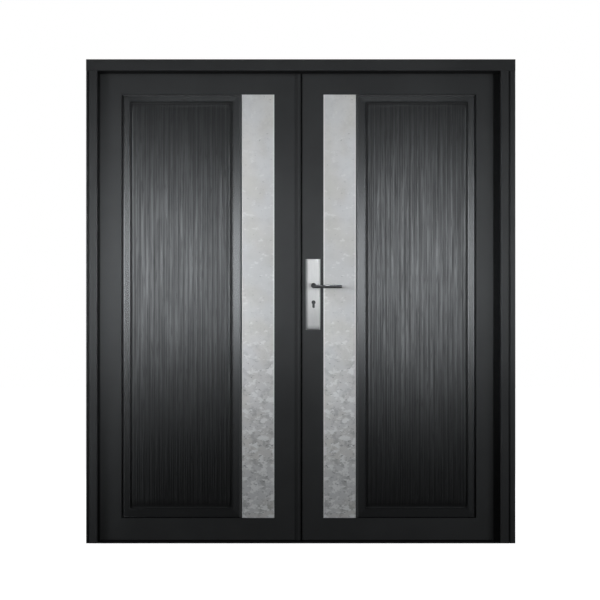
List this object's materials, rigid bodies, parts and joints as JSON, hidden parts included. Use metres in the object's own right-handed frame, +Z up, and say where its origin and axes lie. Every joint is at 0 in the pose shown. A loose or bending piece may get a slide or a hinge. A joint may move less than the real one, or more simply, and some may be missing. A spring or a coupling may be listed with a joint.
{
  "type": "double security door",
  "caption": "Anthracite steel double security door in its folded frame, with upright grained panels, concrete-look strips, a bevelled lock plate and a dark lever.",
  "frame": {"origin": "middle of the opening on the threshold's underside, at floor level and half the frame's depth", "axes": "+X to the right seen from outside, +Y from the outside face into the building, +Z up"},
  "size_m": [1.84, 0.18, 2.075],
  "materials": {
    "frame_paint": "satin anthracite paint",
    "leaf_paint": "satin anthracite paint",
    "moulding": "satin anthracite paint",
    "grained_panel": "anthracite with an upright pressed grain",
    "concrete_strip": "fair-faced, small pits",
    "seal_rubber": "matt black",
    "satin_plate": "satin",
    "lock_steel": "satin",
    "dark_cylinder": "dark satin",
    "dark_lever": "dark satin",
    "hinge_steel": "satin anthracite paint",
    "threshold_steel": "dark satin paint"
  },
  "bodies": {
    "frame": {"left_jamb": "frame_paint", "right_jamb": "frame_paint", "frame_head": "frame_paint", "threshold": "threshold_steel", "left_seal": "seal_rubber", "right_seal": "seal_rubber", "head_seal": "seal_rubber", "left_frame_hinges": "hinge_steel", "right_frame_hinges": "hinge_steel"},
    "left_leaf": {"left_outer_skin": "leaf_paint", "left_inner_skin": "leaf_paint", "left_outer_panel": "grained_panel", "left_inner_panel": "grained_panel", "left_outer_strip": "concrete_strip", "left_inner_strip": "concrete_strip", "left_outer_moulding_uprights": "moulding", "left_inner_moulding_uprights": "moulding", "left_outer_moulding_crossbars": "moulding", "left_inner_moulding_crossbars": "moulding", "left_leaf_hinges": "hinge_steel", "meeting_lip": "leaf_paint", "left_meeting_seal": "seal_rubber", "strike_plate": "lock_steel", "flush_bolts": "lock_steel"},
    "right_leaf": {"right_outer_skin": "leaf_paint", "right_inner_skin": "leaf_paint", "right_outer_panel": "grained_panel", "right_inner_panel": "grained_panel", "right_outer_strip": "concrete_strip", "right_inner_strip": "concrete_strip", "right_outer_moulding_uprights": "moulding", "right_inner_moulding_uprights": "moulding", "right_outer_moulding_crossbars": "moulding", "right_inner_moulding_crossbars": "moulding", "right_leaf_hinges": "hinge_steel", "right_meeting_seal": "seal_rubber", "lock_faceplate": "lock_steel", "lock_bolts": "lock_steel", "outer_lock_plate": "satin_plate", "inner_lock_plate": "satin_plate", "lock_cylinder": "dark_cylinder"},
    "lever": {"outer_lever": "dark_lever", "inner_lever": "dark_lever", "lever_spindle": "lock_steel"}
  },
  "joints": [
    {"name": "left_leaf_hinge", "type": "hinge", "parent": "frame", "child": "left_leaf", "pos_m": [-0.88, 0.0585, 1.02375], "axis": [0, 0, 1], "range_deg": [0, 105]},
    {"name": "right_leaf_hinge", "type": "hinge", "parent": "frame", "child": "right_leaf", "pos_m": [0.88, 0.0585, 1.02375], "axis": [0, 0, -1], "range_deg": [0, 105]},
    {"name": "lever_turn", "type": "hinge", "parent": "right_leaf", "child": "lever", "pos_m": [0.063, 0.0155, 1.105], "axis": [0, 1, 0], "range_deg": [0, 40], "stiffness_Nm_per_rad": 1.5, "springref_deg": -28.65}
  ]
}
